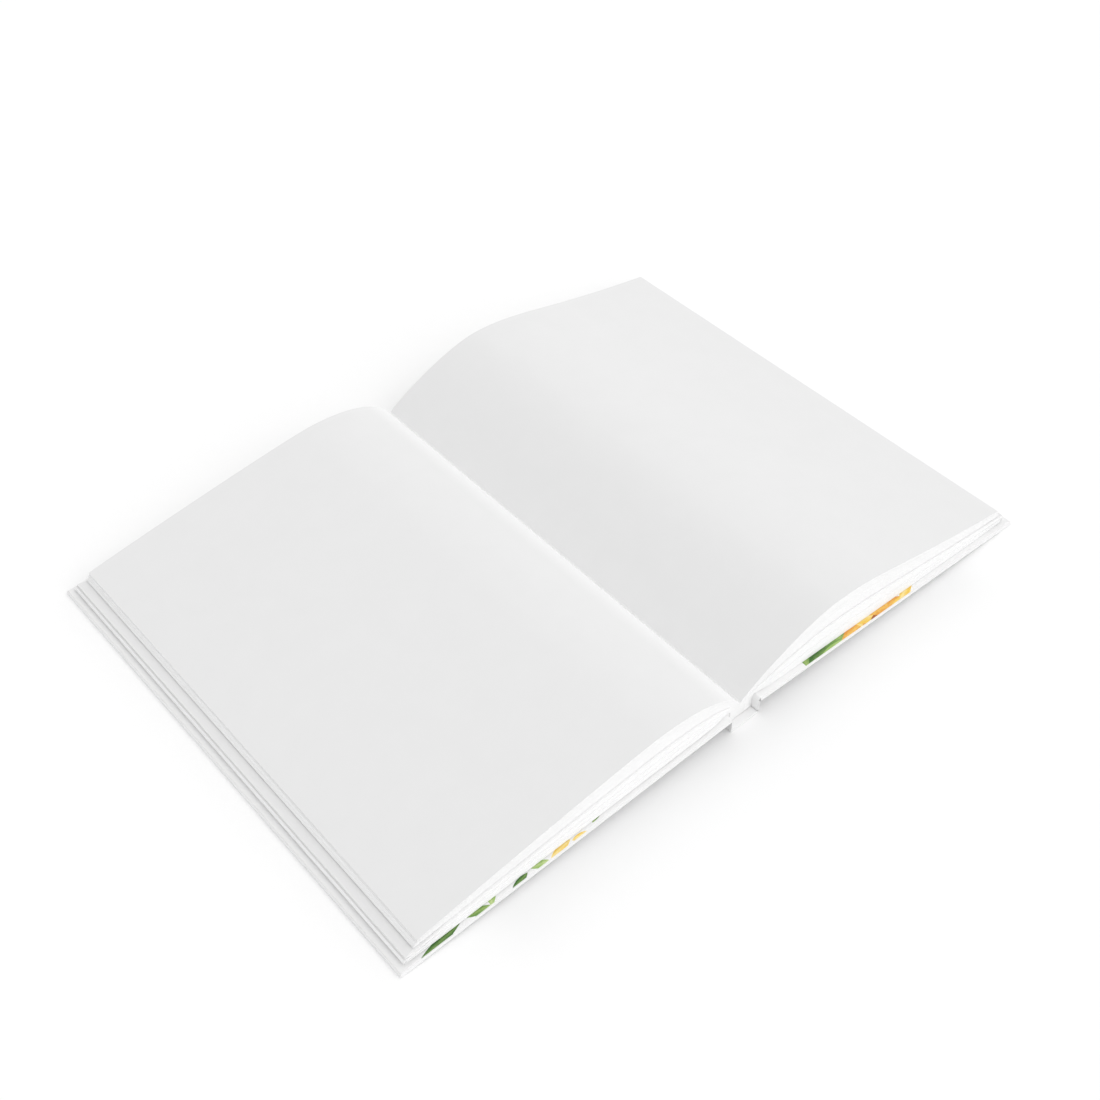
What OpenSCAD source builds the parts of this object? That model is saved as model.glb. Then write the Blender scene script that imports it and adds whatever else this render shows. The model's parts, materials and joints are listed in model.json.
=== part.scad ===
// Hardcover journal lying open at its middle.
// Millimetres. X runs across the spread, Y from tail to head, Z up from the table.
// The origin is the middle of the spine's outer face, on the table.

/* [Covers] */
// Height of each cover along the spine
cover_h = 203; // [150:1:300]
// Width of each cover, from its hinge line to its fore edge
cover_w = 138.4; // [100:0.1:220]
// Thickness of the greyboard in each cover
board_t = 0.95; // [0.8:0.05:3]
// Thickness of the printed sheet that wraps the case
wrap_t = 0.22; // [0.2:0.01:0.5]
// Width of the wrap's turn-ins on the inside of the covers
turn_in = 15; // [10:1:20]
// Open seam where two turn-ins meet at a corner
mitre_gap = 0.3; // [0.1:0.1:1]
// Thickness of the endpaper pasted inside each cover
paste_t = 0.3; // [0.28:0.01:0.6]
// Margin of the pasted endpaper inside the cover's edges
paste_margin = 0.5; // [0.2:0.1:3]

/* [Case spine] */
// Height of the two hinge walls, from the table to the hinge lines
hinge_h = 5.5; // [4.5:0.1:8]
// Thickness of a hinge wall, which is wrap and endpaper glued together
joint_t = 0.5; // [0.3:0.1:1]
// Gap between a hinge line and the pieces on either side of it
hinge_clear = 0.3; // [0.2:0.1:0.6]
// Thickness of the card that stiffens the spine
inlay_t = 0.4; // [0.3:0.1:1.5]
// Gap between the spine card and each hinge wall
inlay_clear = 0.3; // [0.1:0.1:0.6]
// Hollow between the lined back of the pages and each hinge wall
side_hollow = 1.1; // [0.8:0.1:4]

/* [Pages] */
// Thickness of all the pages pressed together, at their glued back
block_t = 9.4; // [6:0.1:20]
// Square, how far the covers stand out past the pages at head and tail
end_square = 3.1; // [1:0.1:6]
// Square at the fore edges, past the lowest pages
fore_square = 2.4; // [1:0.1:6]
// Depth of the gutter's bottom above the glued back
gutter_depth = 6.2; // [4:0.1:12]
// Thickness of the loose endpapers under the pages
flyleaf_t = 0.2; // [0.1:0.05:0.5]
// Air between a loose endpaper and the cover below it
rest_gap = 0.1; // [0.05:0.05:0.5]
// Thickness of the gauze glued over the pages' back
lining_t = 0.2; // [0.1:0.1:0.6]
// Height of the gauze up the sides of the pages' back
lining_rise = 3; // [1:0.1:3]
// Distance of the gauze from the head and tail of the pages
lining_margin = 6; // [2:1:20]

/* [Front half of the pages] */
// Distance of the crest of the front half from the gutter
front_crest_x = 36.3; // [25:0.1:60]
// Height of the front crest above the cover beneath
front_crest = 15.1; // [8:0.1:25]
// Thickness of the front half at its fore edge
front_fore = 5.3; // [3:0.1:12]
// How steeply the front half leaves the gutter, as a run and a rise
front_gutter_pull = [2.2, 3];
// Roundness of the front crest towards the gutter and towards the fore edge
front_crest_pull = [27.8, 13.6];
// How the front half comes down to its fore edge, as a run and a rise
front_fore_pull = [12.1, 2.5];

/* [Back half of the pages] */
// Distance of the crest of the back half from the gutter
back_crest_x = 45.8; // [25:0.1:60]
// Height of the back crest above the cover beneath
back_crest = 19.7; // [8:0.1:25]
// Thickness of the back half at its fore edge
back_fore = 6.8; // [3:0.1:12]
// How steeply the back half leaves the gutter, as a run and a rise
back_gutter_pull = [0.2, 2.6];
// Roundness of the back crest towards the gutter and towards the fore edge
back_crest_pull = [16.9, 23];
// How the back half comes down to its fore edge, as a run and a rise
back_fore_pull = [59.5, 9.5];

/* [Loose groups of sheets] */
// Height of the thin openings between groups of sheets
slot_h = 0.25; // [0.1:0.05:0.5]
// Depth of those openings at the head and tail
slot_depth = 1; // [0.5:0.1:3]
// Depth of those openings at the fore edges
fore_slot_depth = 1.4; // [0.5:0.1:3]
// Distance from the gutter at which the openings begin
slot_start = 5; // [4:0.5:12]

/* [Hidden] */

// Groups of sheets in each half, from the top one down. Each row gives the share of the
// thickness that lies below the group, the setback of its lower edge and its slant.
front_groups = [[0.85, 5.1, 0.2], [0.42, 4.2, 0.8], [0.3, 0.7, 0.2], [0, 0, 0.3]];
back_groups = [[0.85, 3.3, 0.2], [0.4, 2.6, 0.6], [0.25, 0.6, 0.2], [0, 0, 0.3]];
curve_steps = 16;
arc_steps = 8;
cut_through = 1;

// Stack of the cover, measured square to it from its outer face
board_top = wrap_t + board_t;
paste_top = board_top + wrap_t + paste_t;
page_lift = paste_top + rest_gap + flyleaf_t;

// Stack of the spine, measured up from the table
spine_floor = wrap_t + inlay_t + wrap_t;
back_z = spine_floor + lining_t;
gutter_z = back_z + gutter_depth;

// Sideways stack from the middle of the pages' back to the hinge line
half_t = block_t / 2;
hinge_x = half_t + flyleaf_t + lining_t + side_hollow + joint_t;
tilt = asin(hinge_h / cover_w);
page_h = cover_h - 2 * end_square;
reach = hinge_x + cover_w * cos(tilt) - fore_square;

// The pages and loose endpapers bend over the hinge wall on one round
bend_r = hinge_x - half_t;
bend_z = hinge_h + (page_lift - bend_r) / cos(tilt);

// Height of the pages' underside at a distance x from the gutter
function under(x) = hinge_h + page_lift / cos(tilt) - (x - hinge_x) * tan(tilt);

function bezier(a, b, c, d, t) =
    pow(1 - t, 3) * a + 3 * t * pow(1 - t, 2) * b + 3 * t * t * (1 - t) * c + pow(t, 3) * d;

function curve(a, b, c, d, first = 0) =
    [for (i = [first:curve_steps]) bezier(a, b, c, d, i / curve_steps)];

// Open page from the gutter over the crest to the fore edge
function page_curve(crest_x, crest, fore, gutter_pull, crest_pull, fore_pull, groups) =
    let (
        gutter = [0, gutter_z],
        top = [crest_x, under(crest_x) + crest],
        end_x = reach - groups[0][1] - groups[0][2],
        end = [end_x, under(end_x) + fore]
    )
    concat(
        curve(gutter, gutter + gutter_pull, top - [crest_pull[0], 0], top),
        curve(top, top + [crest_pull[1], 0], end + [-fore_pull[0], fore_pull[1]], end, 1)
    );

front_page = page_curve(front_crest_x, front_crest, front_fore, front_gutter_pull,
    front_crest_pull, front_fore_pull, front_groups);
back_page = page_curve(back_crest_x, back_crest, back_fore, back_gutter_pull,
    back_crest_pull, back_fore_pull, back_groups);

// Stepped fore edge, two corners for each group of sheets
function fore_steps(groups, fore) = [
    for (i = [0:len(groups) - 1])
        let (
            low = reach - groups[i][1],
            high = low - groups[i][2],
            share = i == 0 ? 1 : groups[i - 1][0]
        )
        each [[high, under(high) + share * fore], [low, under(low) + groups[i][0] * fore]]
];

// Underside of the sheets at a depth below it, from the fore edge to the glued back
function underside(depth) = concat(
    [[reach, under(reach) - depth / cos(tilt)]],
    [for (i = [0:arc_steps])
        let (a = (90 - tilt) + i * (90 + tilt) / arc_steps)
        [hinge_x + (bend_r - depth) * cos(a), bend_z + (bend_r - depth) * sin(a)]],
    [[half_t + depth, back_z]]
);

function half_outline(page, groups, fore) = concat(
    page,
    [for (i = [1:2 * len(groups) - 1]) fore_steps(groups, fore)[i]],
    [for (i = [1:arc_steps + 2]) underside(0)[i]]
);

function mirrored(points) = [for (i = [len(points) - 1:-1:0]) [-points[i][0], points[i][1]]];

function backwards(points) = [for (i = [len(points) - 1:-1:0]) points[i]];

// Thin opening between two groups of sheets, at a share of the thickness
function slot_outline(page, share) =
    let (
        line = [for (p = page) if (p[0] > slot_start)
            [p[0], under(p[0]) + share * (p[1] - under(p[0]))]],
        last = line[len(line) - 1],
        past = reach + cut_through - last[0],
        middle = concat(line, [last + [past, -past * tan(tilt)]])
    )
    concat([for (p = middle) p - [0, slot_h / 2]], backwards([for (p = middle) p + [0, slot_h / 2]]));

// Runs a cross-section along the spine, centred between head and tail
module along_spine(length) {
    rotate([90, 0, 0])
        linear_extrude(height = length, center = true)
            children();
}

// Openings that run round three edges of one half and leave its core solid
module page_slots(page, groups) {
    for (i = [0:len(groups) - 2]) {
        core_w = reach - groups[i][1] - fore_slot_depth;
        core_h = page_h - 2 * slot_depth;
        difference() {
            along_spine(page_h + 2 * cut_through)
                polygon(slot_outline(page, groups[i][0]));
            translate([0, -core_h / 2, 0])
                cube([core_w, core_h, gutter_z + front_crest + back_crest]);
        }
    }
}

// All the pages as one solid, fanned into two humps from their glued back
module page_block() {
    color("whitesmoke")
        difference() {
            along_spine(page_h)
                polygon(concat(
                    half_outline(back_page, back_groups, back_fore),
                    mirrored(half_outline(front_page, front_groups, front_fore))
                ));
            page_slots(back_page, back_groups);
            mirror([1, 0, 0])
                page_slots(front_page, front_groups);
        }
}

module flyleaf() {
    color("white")
        along_spine(page_h)
            polygon(concat(underside(0), backwards(underside(flyleaf_t))));
}

module front_flyleaf() {
    mirror([1, 0, 0])
        flyleaf();
}

module back_flyleaf() {
    flyleaf();
}

// Gauze glued round the back of the pages
module spine_lining() {
    outer = half_t + flyleaf_t + lining_t;
    color("ivory")
        along_spine(page_h - 2 * lining_margin)
            difference() {
                translate([-outer, spine_floor])
                    square([2 * outer, lining_t + lining_rise]);
                translate([lining_t - outer, back_z])
                    square([2 * (outer - lining_t), lining_rise + cut_through]);
            }
}

// Card that stiffens the spine, under the ends of the wrap
module spine_inlay() {
    half_w = hinge_x - joint_t - inlay_clear;
    color("tan")
        translate([-half_w, wrap_t - cover_h / 2, wrap_t])
            cube([2 * half_w, cover_h - 2 * wrap_t, inlay_t]);
}

// Middle of the wrap, with the hinge walls at its sides and its ends turned in over the card
module spine_wrap() {
    inner_w = 2 * (hinge_x - joint_t);
    color("white")
        difference() {
            translate([-hinge_x, -cover_h / 2, 0])
                cube([2 * hinge_x, cover_h, hinge_h - hinge_clear]);
            translate([-inner_w / 2, -cover_h / 2 - cut_through, spine_floor])
                cube([inner_w, cover_h + 2 * cut_through, hinge_h]);
            translate([-inner_w / 2, wrap_t - cover_h / 2, wrap_t])
                cube([inner_w, cover_h - 2 * wrap_t, inlay_t]);
            translate([-inner_w / 2, turn_in - cover_h / 2, wrap_t])
                cube([inner_w, cover_h - 2 * turn_in, hinge_h]);
        }
}

// Places a cover that is drawn flat, with its hinge line along Y and its outer face down
module cover_place(side) {
    mirror([side < 0 ? 1 : 0, 0, 0])
        translate([hinge_x, 0, hinge_h])
            rotate([0, tilt, 0])
                children();
}

// Box in a cover's own frame, at a distance in from its head, tail and fore edges
module cover_layer(inset, start, bottom, thick) {
    translate([start, inset - cover_h / 2, bottom])
        cube([cover_w - inset - start, cover_h - 2 * inset, thick]);
}

module cover_board() {
    color("darkkhaki")
        cover_layer(wrap_t, 2 * hinge_clear, wrap_t, board_t);
}

// Wrap of one cover, round three edges of the board, with mitred turn-ins
module cover_wrap() {
    corner = cover_h / 2;
    seam_l = 2 * turn_in;
    color("white")
        difference() {
            cover_layer(0, hinge_clear, 0, board_top + wrap_t);
            cover_layer(wrap_t, hinge_clear - cut_through, wrap_t, board_t);
            cover_layer(turn_in, hinge_clear - cut_through, wrap_t, board_top + cut_through);
            for (end = [-1, 1])
                translate([cover_w - wrap_t, end * (corner - wrap_t), board_top])
                    rotate([0, 0, 180 + end * 45])
                        translate([0, -mitre_gap / 2, 0])
                            cube([seam_l, mitre_gap, wrap_t + cut_through]);
        }
}

// Pasted endpaper, which steps up over the turn-ins
module cover_pastedown() {
    color("honeydew")
        union() {
            cover_layer(turn_in, hinge_clear, board_top, paste_t);
            difference() {
                cover_layer(paste_margin, hinge_clear, board_top + wrap_t, paste_t);
                cover_layer(turn_in + paste_t, hinge_clear - cut_through, board_top, 2 * paste_t + wrap_t);
            }
        }
}

module front_board() {
    cover_place(-1)
        cover_board();
}

module front_wrap() {
    cover_place(-1)
        cover_wrap();
}

module front_pastedown() {
    cover_place(-1)
        cover_pastedown();
}

module back_board() {
    cover_place(1)
        cover_board();
}

module back_wrap() {
    cover_place(1)
        cover_wrap();
}

module back_pastedown() {
    cover_place(1)
        cover_pastedown();
}

page_block();
front_flyleaf();
back_flyleaf();
spine_lining();
spine_inlay();
spine_wrap();
front_board();
front_wrap();
front_pastedown();
back_board();
back_wrap();
back_pastedown();
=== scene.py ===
"""Looks of a hardcover journal that lies open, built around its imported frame.

X runs across the spread towards the back cover, Y from tail to head, Z up from the table.
Shapes are worked out in millimetres, as the frame's own sizes are, and become metres in each mesh.
"""

import json
import math
import random
from collections import namedtuple

import bmesh
import bpy
import numpy as np
from mathutils import Matrix, Vector


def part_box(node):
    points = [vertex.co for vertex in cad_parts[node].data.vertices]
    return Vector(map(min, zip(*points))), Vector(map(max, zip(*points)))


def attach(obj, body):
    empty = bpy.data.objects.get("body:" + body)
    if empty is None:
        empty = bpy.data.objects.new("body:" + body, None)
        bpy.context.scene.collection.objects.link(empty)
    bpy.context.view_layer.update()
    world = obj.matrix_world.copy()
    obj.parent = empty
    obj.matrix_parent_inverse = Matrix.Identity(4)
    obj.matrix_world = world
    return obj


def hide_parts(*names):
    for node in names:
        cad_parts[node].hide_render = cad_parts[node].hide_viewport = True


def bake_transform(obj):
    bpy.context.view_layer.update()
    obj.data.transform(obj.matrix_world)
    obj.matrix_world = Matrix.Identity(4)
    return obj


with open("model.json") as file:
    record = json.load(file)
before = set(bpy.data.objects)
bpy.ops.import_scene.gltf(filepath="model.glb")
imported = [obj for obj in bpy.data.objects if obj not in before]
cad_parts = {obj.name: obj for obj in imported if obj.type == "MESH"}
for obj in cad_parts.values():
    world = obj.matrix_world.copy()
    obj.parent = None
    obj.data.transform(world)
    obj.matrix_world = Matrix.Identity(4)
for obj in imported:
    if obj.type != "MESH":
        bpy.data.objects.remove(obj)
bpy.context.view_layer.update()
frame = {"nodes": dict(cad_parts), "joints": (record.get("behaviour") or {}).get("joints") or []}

MM = 0.001

# Sizes read from the frame
SPINE_LOW, SPINE_HIGH = (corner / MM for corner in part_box("spine_wrap"))
BLOCK_LOW, BLOCK_HIGH = (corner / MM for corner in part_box("page_block"))
HINGE_X = frame["joints"][1]["pos_m"][0] / MM
HINGE_Z = frame["joints"][1]["pos_m"][2] / MM
COVER_H = SPINE_HIGH.y - SPINE_LOW.y
PAGE_H = BLOCK_HIGH.y - BLOCK_LOW.y
REACH = BLOCK_HIGH.x
BACK_Z = BLOCK_LOW.z

# Case, as in part.scad
COVER_W = 138.4
BOARD_T = 0.95
WRAP_T = 0.22
TURN_IN = 15
INLAY_T = 0.4
PASTE_T = 0.3
PASTE_MARGIN = 0.5
TILT = math.asin(HINGE_Z / COVER_W)
BOARD_TOP = WRAP_T + BOARD_T
PASTE_TOP = BOARD_TOP + WRAP_T + PASTE_T
WALL_T = 0.5

# Pages, as in part.scad apart from the flyleaf's way out beyond them, the slots and the sheets
HALF_T = 4.7
FLYLEAF_T = 0.2
FLYLEAF_OUT = 0.9
REST_GAP = 0.1
PAGE_LIFT = PASTE_TOP + REST_GAP + FLYLEAF_T
GUTTER_DEPTH = 6.2
GUTTER_Z = BACK_Z + GUTTER_DEPTH
BEND_R = HINGE_X - HALF_T
BEND_Z = HINGE_Z + (PAGE_LIFT - BEND_R) / math.cos(TILT)
SLOT_DEPTH_RATIO = 5
FORE_SLOT_DEPTH = 1.4
SHEETS = 37

# Points nearer to each other than WELD become one, and edges sharper than SMOOTH_ANGLE are creases
WELD = 5e-4
SMOOTH_ANGLE = 32
CURVE_POINTS = 400
ARC_POINTS = 24

# A group of sheets: the share of the thickness above which it lies, the setback of its lowest
# sheet at the fore edge and its slant there, how far its ends stand back at tail and head, or out
# if below zero, and the slots below it at its ends and at the fore edge
Group = namedtuple("Group", "share setback slant ends slot gap")
# A half of the spread: the open page's height above the underside at its crest and at the fore
# edge, the pulls of its curve, and its groups from the top down
Half = namedtuple("Half", "name side crest_x crest fore gutter_pull crest_pull fore_pull groups")
FRONT = Half(
    "front", -1, 36.3, 15.1, 5.3, (2.2, 3), (27.8, 13.6), (12.1, 2.5),
    [Group(0.85, 6.3, 0.2, 0, 0.03, 0.14), Group(0.47, 4.8, 1.4, 0, 0.1, 0.5),
     Group(0.3, 1.2, 0.2, -0.8, 0.03, 0.28), Group(0.14, 0, 0.6, -1.1, 0.02, 0.2),
     Group(0, 0.6, 0.1, -1.4, 0, 0.5)],
)
BACK = Half(
    "back", 1, 45.8, 19.7, 6.8, (0.2, 2.6), (16.9, 23), (59.5, 9.5),
    [Group(0.85, 4.1, 0.2, 0, 0.03, 0.14), Group(0.5, 2.9, 1.1, 0, 0.1, 0.5),
     Group(0.25, 0.9, 0.2, -0.6, 0.03, 0.28), Group(0.12, 0.1, 0.6, -0.8, 0.02, 0.2),
     Group(0, 0.5, 0.1, -0.9, 0, 0.4)],
)
HALVES = [FRONT, BACK]

PAGES_BODY = "pages_and_spine"


# Numbers and curves


def smoothstep(low, high, x):
    t = np.clip((np.asarray(x, float) - low) / (high - low), 0, 1)
    return t * t * (3 - 2 * t)


def bezier(a, b, c, d, t):
    a, b, c, d = (np.asarray(p, float) for p in (a, b, c, d))
    t = np.asarray(t, float)[:, None]
    return (1 - t) ** 3 * a + 3 * t * (1 - t) ** 2 * b + 3 * t * t * (1 - t) * c + t**3 * d


def resample(points, count):
    """The same line with its points at equal distances."""
    points = np.asarray(points, float)
    steps = np.linalg.norm(np.diff(points, axis=0), axis=1)
    along = np.concatenate([[0], np.cumsum(steps)])
    at = np.linspace(0, along[-1], count)
    return np.column_stack([np.interp(at, along, points[:, i]) for i in range(points.shape[1])])


def under(x):
    """Height of the pages' underside over a cover."""
    return HINGE_Z + PAGE_LIFT / math.cos(TILT) - (x - HINGE_X) * math.tan(TILT)


def underside(depth, x_end):
    """Line from the glued back over the hinge wall to x_end, at a depth below the pages."""
    radius = BEND_R - depth
    angles = np.linspace(math.pi, math.pi / 2 - TILT, ARC_POINTS)
    arc = np.column_stack([HINGE_X + radius * np.cos(angles), BEND_Z + radius * np.sin(angles)])
    end = [[x_end, under(x_end) - depth / math.cos(TILT)]]
    return np.concatenate([[[HALF_T + depth, BACK_Z]], arc, end])


def page_curve(half):
    """Open page from the gutter over its crest to the fore edge."""
    top = np.array([half.crest_x, under(half.crest_x) + half.crest])
    end_x = REACH - half.groups[0].setback - half.groups[0].slant
    end = np.array([end_x, under(end_x) + half.fore])
    gutter = np.array([0, GUTTER_Z])
    t = np.linspace(0, 1, CURVE_POINTS)
    rise = bezier(gutter, gutter + half.gutter_pull, top - [half.crest_pull[0], 0], top, t)
    fall = bezier(top, top + [half.crest_pull[1], 0],
                  end + [-half.fore_pull[0], half.fore_pull[1]], end, t)
    return np.concatenate([rise, fall[1:]])


# Meshes


class Sheet:
    """Grids of points, in millimetres, that are welded into one mesh.

    The mesh keeps their places on the flat sheet as its UV map."""

    def __init__(self):
        self.points, self.flat, self.quads, self.marks = [], [], [], []
        self.count = 0

    def grid(self, points, flat, mark=0):
        """Adds rows x columns of points, with their places on the flat sheet in metres.

        mark is the number of the material's slot, for all the faces or for each row of them."""
        points, flat = np.asarray(points, float), np.asarray(flat, float)
        rows, columns = points.shape[:2]
        index = np.arange(rows * columns).reshape(rows, columns) + self.count
        quads = np.stack([index[:-1, :-1], index[1:, :-1], index[1:, 1:], index[:-1, 1:]], -1)
        self.quads.append(quads.reshape(-1, 4))
        row_marks = np.broadcast_to(mark, (rows - 1,))
        self.marks.append(np.repeat(row_marks, columns - 1))
        self.points.append(points.reshape(-1, 3))
        self.flat.append(flat.reshape(-1, 2))
        self.count += rows * columns

    def rim(self, upper, lower, flat):
        """Strip that joins the same line of points of two grids."""
        self.grid(np.stack([upper, lower]), np.stack([flat, flat]))

    def mesh(self, name):
        points = np.concatenate(self.points)
        flat = np.concatenate(self.flat)
        quads = np.concatenate(self.quads)
        marks = np.concatenate(self.marks)
        _, first, welded = np.unique(
            np.round(points / WELD).astype(np.int64), axis=0, return_index=True, return_inverse=True
        )
        welded = welded.reshape(-1)
        # Corners that fall together are dropped, and a face needs three that are left
        faces, loops, kept = [], [], []
        for quad, mark in zip(quads, marks):
            corners = [i for n, i in enumerate(quad) if welded[i] != welded[quad[n - 1]]]
            if len({welded[i] for i in corners}) == len(corners) >= 3:
                faces.append([int(welded[i]) for i in corners])
                loops.extend(corners)
                kept.append(int(mark))
        mesh = bpy.data.meshes.new(name)
        mesh.from_pydata((points[first] * MM).tolist(), [], faces)
        layer = mesh.uv_layers.new(name="flat")
        layer.data.foreach_set("uv", flat[loops].astype(np.float32).ravel())
        mesh.polygons.foreach_set("material_index", kept)
        return mesh


def add_object(name, mesh, materials):
    """Links a mesh as an object, with faces pointing out and creases where it turns sharply."""
    work = bmesh.new()
    work.from_mesh(mesh)
    bmesh.ops.recalc_face_normals(work, faces=work.faces)
    work.to_mesh(mesh)
    work.free()
    mesh.polygons.foreach_set("use_smooth", [True] * len(mesh.polygons))
    mesh.set_sharp_from_angle(angle=math.radians(SMOOTH_ANGLE))
    for material in materials:
        mesh.materials.append(material)
    made = bpy.data.objects.new(name, mesh)
    bpy.context.scene.collection.objects.link(made)
    return made


def thick_sheet(name, upper, lower, flat, material):
    """Closed sheet between two grids of the same size."""
    sheet = Sheet()
    upper, lower = np.asarray(upper, float), np.asarray(lower, float)
    sheet.grid(upper, flat)
    sheet.grid(lower, flat)
    for edge in (np.s_[0], np.s_[-1], np.s_[:, 0], np.s_[:, -1]):
        sheet.rim(upper[edge], lower[edge], flat[edge])
    return add_object(name, sheet.mesh(name), [material])


def thicken(obj, thickness):
    """Gives a one-layer sheet its thickness, towards its inner side, and keeps the result."""
    solid = obj.modifiers.new("thickness", "SOLIDIFY")
    solid.thickness = thickness * MM
    solid.offset = -1
    solid.use_even_offset = True
    bpy.context.view_layer.update()
    evaluated = obj.evaluated_get(bpy.context.evaluated_depsgraph_get())
    final = bpy.data.meshes.new_from_object(evaluated)
    obj.modifiers.clear()
    obj.data = final


# Materials


# Places of a Mix node's sockets where it mixes colours
MIX_FACTOR, MIX_FIRST, MIX_SECOND, MIX_RESULT = 0, 6, 7, 2


class Graph:
    """Nodes of a material or of the world, and the links between them."""

    def __init__(self, tree):
        self.nodes, self.links = tree.nodes, tree.links

    def node(self, kind, **values):
        """Adds a node. Each value goes to the input of its name, or else to the node's setting."""
        made = self.nodes.new(kind)
        for key, value in values.items():
            if key in made.inputs:
                made.inputs[key].default_value = value
            else:
                setattr(made, key, value)
        return made

    def link(self, output, socket):
        self.links.new(output, socket)

    def math(self, operation, *values):
        """Result of a Math node, whose values are numbers or other nodes' outputs."""
        made = self.node("ShaderNodeMath", operation=operation)
        for i, value in enumerate(values):
            if isinstance(value, (int, float)):
                made.inputs[i].default_value = value
            else:
                self.link(value, made.inputs[i])
        return made.outputs["Value"]

    def place(self, kind="Object"):
        return self.node("ShaderNodeTexCoord").outputs[kind]

    def flat_place(self):
        """Coordinates on the flat sheet, in metres."""
        return self.node("ShaderNodeUVMap", uv_map="flat").outputs["UV"]

    def axes(self, vector):
        made = self.node("ShaderNodeSeparateXYZ")
        self.link(vector, made.inputs["Vector"])
        return made.outputs

    def noise(self, vector, scale, detail, stretch=None, roughness=0.6):
        if stretch:
            mapping = self.node("ShaderNodeMapping", Scale=stretch)
            self.link(vector, mapping.inputs["Vector"])
            vector = mapping.outputs["Vector"]
        made = self.node("ShaderNodeTexNoise", Scale=scale, Detail=detail, Roughness=roughness)
        self.link(vector, made.inputs["Vector"])
        return made.outputs["Fac"]

    def tint(self, factor, dark, light, low=0.3, high=0.7):
        """Colour that runs from dark to light with a factor."""
        ramp = self.node("ShaderNodeValToRGB")
        for element, position, color in zip(ramp.color_ramp.elements, (low, high), (dark, light)):
            element.position = position
            element.color = (*color, 1)
        self.link(factor, ramp.inputs["Fac"])
        return ramp.outputs["Color"]

    def mix(self, factor, *colors):
        """Mix of two colours, which are given as numbers or as other nodes' outputs."""
        made = self.node("ShaderNodeMix", data_type="RGBA")
        self.link(factor, made.inputs[MIX_FACTOR])
        for socket, color in zip((made.inputs[MIX_FIRST], made.inputs[MIX_SECOND]), colors):
            if isinstance(color, tuple):
                socket.default_value = (*color, 1)
            else:
                self.link(color, socket)
        return made.outputs[MIX_RESULT]


class Surface(Graph):
    """Material with one plain shader, which its nodes colour and roughen."""

    def __init__(self, name, color, roughness, specular):
        self.material = bpy.data.materials.new(name)
        self.material.use_nodes = True
        super().__init__(self.material.node_tree)
        self.shader = self.nodes["Principled BSDF"]
        self.shader.inputs["Base Color"].default_value = (*color, 1)
        self.shader.inputs["Roughness"].default_value = roughness
        self.shader.inputs["Specular IOR Level"].default_value = specular

    def paint(self, color):
        self.link(color, self.shader.inputs["Base Color"])

    def bump(self, height, distance, strength=0.5):
        """Bump of a strength, whose distance is in millimetres."""
        made = self.node("ShaderNodeBump", Strength=strength, Distance=distance * MM)
        self.link(height, made.inputs["Height"])
        self.link(made.outputs["Normal"], self.shader.inputs["Normal"])


def scaled(color, factor):
    return tuple(min(1, c * factor) for c in color)


PAPER_GRAIN = 0.006


def paper_surface(name, color):
    """Uncoated paper with fine fibres and a soft tooth, and its faintly cloudy colour."""
    surface = Surface(name, color, roughness=0.85, specular=0.35)
    clouds = surface.noise(surface.place(), scale=90, detail=3)
    tooth = surface.noise(surface.place(), scale=2600, detail=5, stretch=(1, 0.6, 1))
    surface.bump(tooth, distance=0.012)
    cloudy = surface.tint(clouds, scaled(color, 1 - PAPER_GRAIN), scaled(color, 1 + PAPER_GRAIN))
    return surface, cloudy


def paper(name, color):
    surface, cloudy = paper_surface(name, color)
    surface.paint(cloudy)
    return surface.material


# How far the painted light in the gutter's fold reaches over each half, in millimetres
PAINTED_LIGHT_FRONT, PAINTED_LIGHT_BACK = 13.0, 0.6


def open_pages(name, color, painted_light_color):
    """Paper of the open pages, with light painted in where it bends into the gutter."""
    surface, cloudy = paper_surface(name, color)
    across = surface.axes(surface.place())["X"]
    shares = []
    for far in (-PAINTED_LIGHT_FRONT, PAINTED_LIGHT_BACK):
        run = surface.node("ShaderNodeMapRange", interpolation_type="SMOOTHSTEP")
        run.inputs["From Min"].default_value = far * MM
        run.inputs["From Max"].default_value = 0
        surface.link(across, run.inputs["Value"])
        shares.append(run.outputs["Result"])
    surface.paint(surface.mix(surface.math("MINIMUM", *shares), cloudy, painted_light_color))
    return surface.material


def sheet_edges(name, color, streak):
    """Cut edges of many sheets: fine streaks that follow the layers."""
    surface = Surface(name, color, roughness=0.9, specular=0.25)
    place = surface.flat_place()
    streaks = surface.noise(place, scale=1.0, detail=5, stretch=(18, 1.3, 1), roughness=0.65)
    surface.paint(surface.tint(streaks, scaled(color, streak), color, high=0.46))
    surface.bump(streaks, distance=0.03, strength=0.4)
    return surface.material


def laminated(name, color):
    """Smooth satin paper of the case, with a very slight orange peel."""
    surface = Surface(name, color, roughness=0.42, specular=0.5)
    clouds = surface.noise(surface.place(), scale=60, detail=2)
    surface.paint(surface.tint(clouds, scaled(color, 0.985), color))
    peel = surface.noise(surface.place(), scale=900, detail=2)
    surface.bump(peel, distance=0.01, strength=0.3)
    return surface.material


def grey_board(name):
    """Pressed grey board with flecks of pulp."""
    surface = Surface(name, (0.34, 0.32, 0.28), roughness=0.95, specular=0.2)
    pulp = surface.noise(surface.place(), scale=700, detail=6, stretch=(1, 0.5, 1))
    surface.paint(surface.tint(pulp, (0.24, 0.225, 0.19), (0.46, 0.43, 0.38)))
    surface.bump(pulp, distance=0.06)
    return surface.material


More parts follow.
